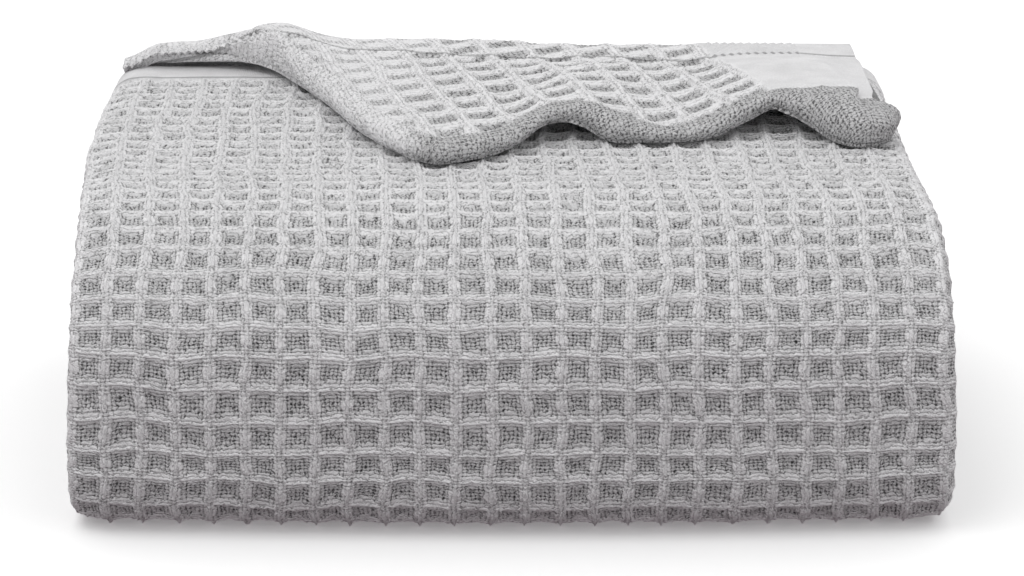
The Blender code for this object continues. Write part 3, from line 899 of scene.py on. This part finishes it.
class Finish:
    """A material under construction."""

    def __init__(self, name):
        self.material = bpy.data.materials.new(name)
        self.material.use_nodes = True
        self.tree = self.material.node_tree
        self.tree.nodes.clear()

    def node(self, kind, settings=None, sockets=None, output=0):
        """Adds a node, with its settings and the values or links of its sockets."""
        made = self.tree.nodes.new(kind)
        for name, value in (settings or {}).items():
            setattr(made, name, value)
        for name, value in (sockets or {}).items():
            if isinstance(value, Wire):
                self.tree.links.new(value.socket, made.inputs[name])
            else:
                made.inputs[name].default_value = value
        return Wire(self, made.outputs[output])

    def end(self, shader):
        """Links the shader to the material's output, and gives the material."""
        output = self.tree.nodes.new("ShaderNodeOutputMaterial")
        self.tree.links.new(shader.socket, output.inputs["Surface"])
        return self.material


def waffle_up(end, pick):
    """1 where the lengthwise yarn lies on top, as in warp_up."""
    a, b = abs(end % THREADS - THREADS / 2), abs(pick % THREADS - THREADS / 2)
    return (a - b > 1.5) + (abs(a - b) < 0.5)


def plain_up(end, pick):
    """1 on every other crossing, as plain weave has it."""
    return (end + pick) % 2 > 0.5


def woven(x, y, up):
    """Height of the yarns' surface at thread places x and y, from about 0 to 1."""
    end, pick = (x + 0.5).floor(), (y + 0.5).floor()
    left, low = x.floor(), y.floor()
    warp = up(end, low).toward(up(end, low + 1), (y - low).eased())
    weft = 1 - up(left, pick).toward(up(left + 1, pick), (x - left).eased())
    over_warp, over_weft = 1 - ((x - end) * 2) ** 2, 1 - ((y - pick) * 2) ** 2
    warp_top = warp * LIFT_SHARE + over_warp * (1 - LIFT_SHARE)
    return warp_top.or_more(weft * LIFT_SHARE + over_weft * (1 - LIFT_SHARE))


def cotton_finish():
    """Soft light grey cotton: yarns that go over and under, fibres, and painted shade in the gaps
    between the yarns and in the cells' recesses.
    """
    cotton = Finish("light_grey_cotton")
    uv = cotton.node("ShaderNodeUVMap", {"uv_map": "weave"})
    u = cotton.node("ShaderNodeSeparateXYZ", None, {0: uv}, 0)
    v = Wire(cotton, u.socket.node.outputs[1])
    plain, grain, sewn, page_side = (
        cotton.node("ShaderNodeAttribute", {"attribute_name": label}, None, 2)
        for label in SHARES
    )
    place = cotton.node("ShaderNodeTexCoord", None, None, 3)

    def noise(scale, detail):
        sockets = {"Vector": place, "Scale": scale, "Detail": detail}
        return cotton.node("ShaderNodeTexNoise", None, sockets)

    def bent(threads, bends):
        for kind, by in bends.items():
            threads = threads + (noise(*kind) - 0.5) * by
        return threads

    def mottled(share, by):
        return (1 - by / 2) + share * by

    # Yarns
    fibre, patch, uneven = noise(*FIBRES), noise(*PATCHES), noise(*UNEVEN)
    x, y = bent(u * THREADS, BENDS_ACROSS), bent(v * THREADS, BENDS_ALONG)
    finer = EDGE_GRAIN["finer"]
    grains = woven(x * finer, y * finer, plain_up)
    deep = grain.between(GRAIN["left"], EDGE_GRAIN["to"])
    deep_share = deep.toward(1.0, EDGE_GRAIN["relief"])
    soft_grains = grains * deep_share + (1 - deep) * EDGE_GRAIN["level"]
    on_edge = grain.between(EDGE_GRAIN["from"], GRAIN["left"])
    waffle = woven(x, y, waffle_up).toward(soft_grains, on_edge)
    fine = woven(u * THREADS * BORDER["finer"], v * THREADS * BORDER["finer"], plain_up)
    yarns = waffle.toward(fine * BORDER["relief"] + BORDER["level"], plain)
    height = yarns + (fibre - 0.5) * FIBRE_RELIEF

    # Painted shade in the cells' recesses and on the turned edge's rim
    a, b = abs(x / THREADS % 1 - 0.5) * 2, abs(y / THREADS % 1 - 0.5) * 2
    flattened = (page_side - 1).or_more(0.0)
    wide = PAINTED_RECESS_SHADE["across"] + page_side * PAINTED_RECESS_SHADE["page_across"]
    long = PAINTED_RECESS_SHADE["along"] - page_side * PAINTED_RECESS_SHADE["page_along"]
    reach = (a / wide) ** PAINTED_RECESS_SHADE["corners"] + (b / long) ** PAINTED_RECESS_SHADE["corners"]
    reach = reach + (uneven - 0.5) * PAINTED_SHADE_FADE["uneven"] + (fibre - 0.5) * PAINTED_SHADE_FADE["fibres"]
    # painted shade: the outline of each cell's recess, where the cotton is darkened as shade would
    # fall
    recess_shade_outline = 1 - reach.between(PAINTED_SHADE_FADE["from"], PAINTED_SHADE_FADE["to"])
    recess_shade_outline = recess_shade_outline * (1 - flattened * PAINTED_SHADE_FLATTENED)
    # painted shade over the recess and, where only grain shows, over the turned edge's rim
    recess = recess_shade_outline.or_more(grain * PAINTED_SHADE_ON_GRAIN) * (1 - plain)

    # Tones: painted light on the yarns' tops, painted shade between them and in the recesses
    # painted light on the yarns' tops and painted shade between them, from their height
    lit = yarns.between(LIT_FROM, LIT_TO)
    # painted shade in the recesses, darker still on the page
    darker = lit * RECESS_PAINTED_SHADE_TONE["lit"] + RECESS_PAINTED_SHADE_TONE["dark"]
    darker = (1 - page_side.between(0.0, 1.0) * RECESS_PAINTED_SHADE_TONE["page_painted_shade"]) * darker
    shade = (lit * RIDGE_PAINTED_LIGHT_AND_SHADE["lit"] + RIDGE_PAINTED_LIGHT_AND_SHADE["dark"]).toward(darker, recess)
    # the plain border: its own lighter tone, with a little painted light on its yarns
    shade = shade.toward(BORDER["tone"] + lit * BORDER["lit"], plain)
    seam = 1 - abs(sewn - STITCH["from_edge"]).between(SEAM["from"], SEAM["to"])
    noises = mottled(patch, PATCHES_BY) * mottled(uneven, UNEVEN_BY) * mottled(fibre, FIBRES_BY)
    tone = shade * (1 - seam * SEAM["darker"]) * noises
    colour = cotton.node(
        "ShaderNodeMix",
        {"data_type": "RGBA"},
        {0: tone, 6: (0.0, 0.0, 0.0, 1.0), 7: COTTON_COLOUR},
        2,
    )
    relief = {"Distance": BUMP, "Height": height, "Strength": 1.0}
    bump = cotton.node("ShaderNodeBump", None, relief)
    shader = cotton.node(
        "ShaderNodeBsdfPrincipled",
        None,
        {
            "Base Color": colour,
            "Roughness": 0.95,
            "Normal": bump,
            "Sheen Weight": 0.15,
            "Sheen Roughness": 0.6,
            "Specular IOR Level": 0.2,
        },
    )
    return cotton.end(shader)


COTTON = cotton_finish()

# The stack

RIDGE_LINES = ridge_lines()
OUTER = np.array(outer_rows())
INNER = np.concatenate([OUTER[-1:], inner_rows()])
PAGE_AFTER_TURN, PAGE_OUTWARD = page_rows(INNER[-1])
PAGE = np.concatenate([INNER[-1:], PAGE_AFTER_TURN])
ALL_POINTS = np.concatenate([part.reshape(-1, 3) for part in (OUTER, INNER, PAGE)])
MIDDLE = (ALL_POINTS.min(axis=0) + ALL_POINTS.max(axis=0)) / 2 * (1, 1, 0)


def outer_layer():
    """The outer layer in stretches, fine where it shows."""
    left, right, everywhere = (0, LEFT_CELLS), (LEFT_CELLS, CELLS_ACROSS), (0, CELLS_ACROSS)
    under = lengths_along(OUTER[:, COLUMNS // 2])[-1] - length_at(np.array([FRONT_CELLS]))[0]
    back, top, front = (0, BACK_CELLS), (BACK_CELLS, TOP_CELLS), (TOP_CELLS, FRONT_CELLS)
    underside = (FRONT_CELLS, FRONT_CELLS + math.ceil(under / CELL * COARSE) / COARSE)
    outer_stretch("top_back_left", OUTER, left, back, FINE, BACK_STEP, 1.0)
    outer_stretch("top_back_right", OUTER, right, back, HALF_FINE, BACK_STEP, 1.0)
    outer_stretch("top_front", OUTER, everywhere, top, FINE, BACK_STEP, 1.0)
    outer_stretch("front", OUTER, everywhere, front, FINE, BACK_STEP, 1.0)
    outer_stretch("underside", OUTER, everywhere, underside, COARSE, COARSE_BACK_STEP, 0.0)


def inner_layers():
    """The zigzag, with fine side edges."""
    edge = steps_between(0, INNER_EDGE_CELLS, COARSE)
    first = INNER_EDGE_CELLS + 1
    between = steps_between(first, CELLS_ACROSS - first, 1)
    u_line = np.concatenate([edge, between, CELLS_ACROSS - edge[::-1]])
    end = lengths_along(INNER[:, COLUMNS // 2])[-1] / CELL
    v_line = np.minimum(steps_between(0, math.ceil(end * COARSE) / COARSE, COARSE), end)
    inner_stretch("inner_layers", INNER, u_line, v_line)


def page_grid(first, last, count, u_count):
    """Points of the page between two of its rows, evenly spaced along each column, with their
    lengths from the crest and to the page's end, and the edge's outward way and its crest."""
    places = np.linspace(0, 1, count)
    lines = []
    arcs = []
    for column in range(COLUMNS + 1):
        line = PAGE[:, column]
        keys = lengths_along(line)
        at = mixed(keys[first], keys[last], places)
        lines.append(smooth(keys, line, at))
        arcs.append(np.stack([at - keys[CREST_ROW], keys[-1] - at], axis=1))
    at = np.linspace(0, COLUMNS, u_count)
    columns = np.arange(COLUMNS + 1)
    grid = smooth(columns, np.array(lines), at).swapaxes(0, 1)
    arc = smooth(columns, np.array(arcs), at).swapaxes(0, 1)
    outward = smooth(columns, PAGE_OUTWARD, at)
    crest = smooth(columns, PAGE[CREST_ROW], at)
    return grid, arc, outward, crest


def page_weave(plan):
    """Fabric places of the page's cells, which wander a little, and its share of plain band."""
    cell = np.array([PAGE_CELL["across"], PAGE_CELL["along"]])
    u, v = np.moveaxis((plan - PAGE_CELL["at"]) @ np.linalg.inv(cell) + 0.5, -1, 0)
    by, over = PAGE_WANDER["by"], PAGE_WANDER["over"]
    du, dv = (lattice_noise(u / over, v / over, seed) for seed in PAGE_WANDER["seeds"])
    line = np.subtract(BAND_TO, BAND_FROM) / math.dist(BAND_TO, BAND_FROM)
    band = eased(((plan - BAND_FROM) @ (-line[1], line[0])) / BAND_FADE)
    return u + by * du, v + by * dv, band


def hem_ribs(x, from_end, hem):
    """The slanting ribs on the page's hem, as heights."""
    slanting = (x + from_end * HEM_RIBS["slant"]) * math.tau / HEM_RIBS["pitch"]
    ribbed = hem * (x > HEM_RIBS["from_x"]) * (x < HEM_RIBS["to_x"])
    return HEM_RIBS["height"] * np.sin(slanting) * ribbed


def rim_ribs(x, crest, over_crest):
    """Ribs round the left of the page's turned edge, as heights."""
    ribs = RIM_RIBS["height"] * np.sin(lengths_along(crest)[None, :] * math.tau / RIM_RIBS["pitch"])
    return ribs * (1 - over_crest) * (1 - eased((x - RIM_RIBS["to_x"]) / RIM_RIBS["fade"]))


def page_left_end(grid, from_crest, crest):
    """At the page's left end: the share that is drawn thin, how far the underside rises towards
    the crest of the edge, and how far all of it drops."""
    x, z = grid[..., 0], grid[..., 2]
    drop = PAGE_END_DROP["by"] * (1 - eased((x - PAGE_END_DROP["from_x"]) / PAGE_END_DROP["over"]))
    drop = drop * eased((z - PAGE_END_DROP["above"]) / PAGE_END_DROP["by"])
    at_end = 1 - eased((x - PAGE_END_SQUEEZE["to_x"]) / PAGE_END_SQUEEZE["over"] + 1)
    near = 1 - eased((-from_crest - PAGE_END_SQUEEZE["within"]) / PAGE_END_SQUEEZE["fades"])
    squeeze = PAGE_END_SQUEEZE["by"] * at_end * near * (from_crest < 0)
    return at_end, np.maximum((crest[None, :, 2] - z) * squeeze, 0), drop


def page_stretch(name, first, last, points, relief):
    """A stretch of the page on top, with its cells turned against the stack's."""
    grid, arc, outward, crest = page_grid(first, last, *points)
    from_crest, from_end = arc[..., 0], arc[..., 1] * PAGE_HEM_SHARE
    beyond = np.minimum(from_crest, 0)[..., None]
    plan = np.where(beyond < 0, crest[None, :, :2] - outward[None] * beyond, grid[..., :2])
    x = grid[..., 0]

    # Where it is hem, band, open cells or only grain
    hem = 1 - eased((from_end - HEM_SHOWN) / HEM_FADE)
    over_crest = eased(from_crest / CREST_FADE)
    u, v, band = page_weave(plan)
    band = band * over_crest
    to_right = eased((x - GRAIN["from_x"]) / GRAIN["over"])
    grain = (1 - over_crest) * mixed(GRAIN["left"], 1, to_right)
    to_right = eased((x - CELLS_OPEN["from_x"]) / CELLS_OPEN["over"])
    cells_open = mixed(CELLS_OPEN["least"], 1, to_right)

    # Its shape
    at_end, rise, drop = page_left_end(grid, from_crest, crest)
    grid[..., 2] += rise
    normal = -normals_of(grid)
    thick = SHEET * mixed(1, PAGE_END_THIN, at_end) / 2
    flat = thick + PAGE_HEM_LIFT * hem + hem_ribs(x, from_end, hem)
    depth = mixed(RIM_RELIEF, cells_open, over_crest) * (1 - GRAIN["flatter"] * grain)
    depth = relief * (1 - band) * (1 - PAGE_HEM_FLATTER * hem) * depth
    to_right = eased((x - PAGE_SINK["from_x"]) / PAGE_SINK["over"])
    sink = mixed(PAGE_SINK["left"], PAGE_SINK["right"], to_right)
    lift = mixed(flat, waffle_lift(u, v, PAGE_RIDGE_LIFT), depth) - hem_stitch(from_end)
    lift = lift + (rim_ribs(x, crest, over_crest) - sink) * relief
    dip = PAGE_DIP["by"] * np.exp(-(((from_end - HEM_SHOWN) / PAGE_DIP["over"]) ** 2))
    dip = dip * eased((x - PAGE_DIP["from_x"]) / PAGE_DIP["fade"])
    grid[..., 2] -= drop + dip * relief
    front = grid + normal * lift[..., None] - MIDDLE
    back = grid - normal * thick[..., None] - MIDDLE

    maps = (u, v, band, grain, from_end, 2 - cells_open * over_crest)
    mesh = sheet_mesh(name, front, back, maps, BACK_STEP, True)
    return add_cloth(name, mesh)


def page():
    """The loose doubled page on top."""
    page_stretch("page_under", 0, EDGE_ROW, PAGE_POINTS["under"], 0.0)
    page_stretch("page_edge", EDGE_ROW, CREST_ROW, PAGE_POINTS["edge"], 1.0)
    page_stretch("page_top", CREST_ROW, len(PAGE) - 1, PAGE_POINTS["top"], 1.0)


def stage():
    """A plain white floor, soft light and the view of the photograph."""
    bpy.ops.mesh.primitive_plane_add(size=FLOOR["size"], location=(0, 0, 0))
    floor = bpy.context.object
    floor.name = "floor"
    white = Finish("plain_white_floor")
    matt = white.node("ShaderNodeBsdfDiffuse", None, {"Color": FLOOR["white"]})
    glow = white.node("ShaderNodeEmission", None, {"Strength": FLOOR["glow"]})
    shader = white.node("ShaderNodeAddShader", None, {0: matt, 1: glow})
    floor.data.materials.append(white.end(shader))
    floor.visible_diffuse = False

    world = bpy.data.worlds.new("studio")
    world.use_nodes = True
    sky = world.node_tree
    way = sky.nodes.new("ShaderNodeTexCoord")
    height = sky.nodes.new("ShaderNodeSeparateXYZ")
    sky.links.new(way.outputs["Generated"], height.inputs[0])
    light = sky.nodes.new("ShaderNodeMapRange")
    sky.links.new(height.outputs["Z"], light.inputs["Value"])
    for name, value in SKY.items():
        light.inputs[name].default_value = value
    background = sky.nodes["Background"]
    tint = sky.nodes.new("ShaderNodeMix")
    tint.data_type = "RGBA"
    sky.links.new(light.outputs["Result"], tint.inputs["Factor"])
    tint.inputs[6].default_value, tint.inputs[7].default_value = WARM_BELOW, WHITE_ABOVE
    sky.links.new(tint.outputs[2], background.inputs["Color"])
    sky.links.new(light.outputs["Result"], background.inputs["Strength"])
    bpy.context.scene.world = world
    bpy.context.scene.view_settings.view_transform = "Standard"

    bpy.ops.object.light_add(type="AREA", location=LAMP["at"])
    lamp = bpy.context.object
    lamp.data.shape = "RECTANGLE"
    lamp.data.size, lamp.data.size_y = LAMP["side"], LAMP["side"]
    lamp.data.energy = LAMP["energy"]
    lamp.rotation_euler = (*(math.radians(angle) for angle in LAMP["turned"]), 0)

    camera = bpy.data.objects.new("camera", bpy.data.cameras.new("camera"))
    bpy.context.scene.collection.objects.link(camera)
    camera.location = (-MIDDLE[0], CAMERA["y"] - MIDDLE[1], CAMERA["z"])
    camera.rotation_euler = (math.pi / 2 - CAMERA["pitch"], 0, 0)
    camera.data.lens, camera.data.sensor_width = CAMERA["lens"], CAMERA["sensor"]
    bpy.context.scene.camera = camera


stage()
outer_layer()
inner_layers()
page()
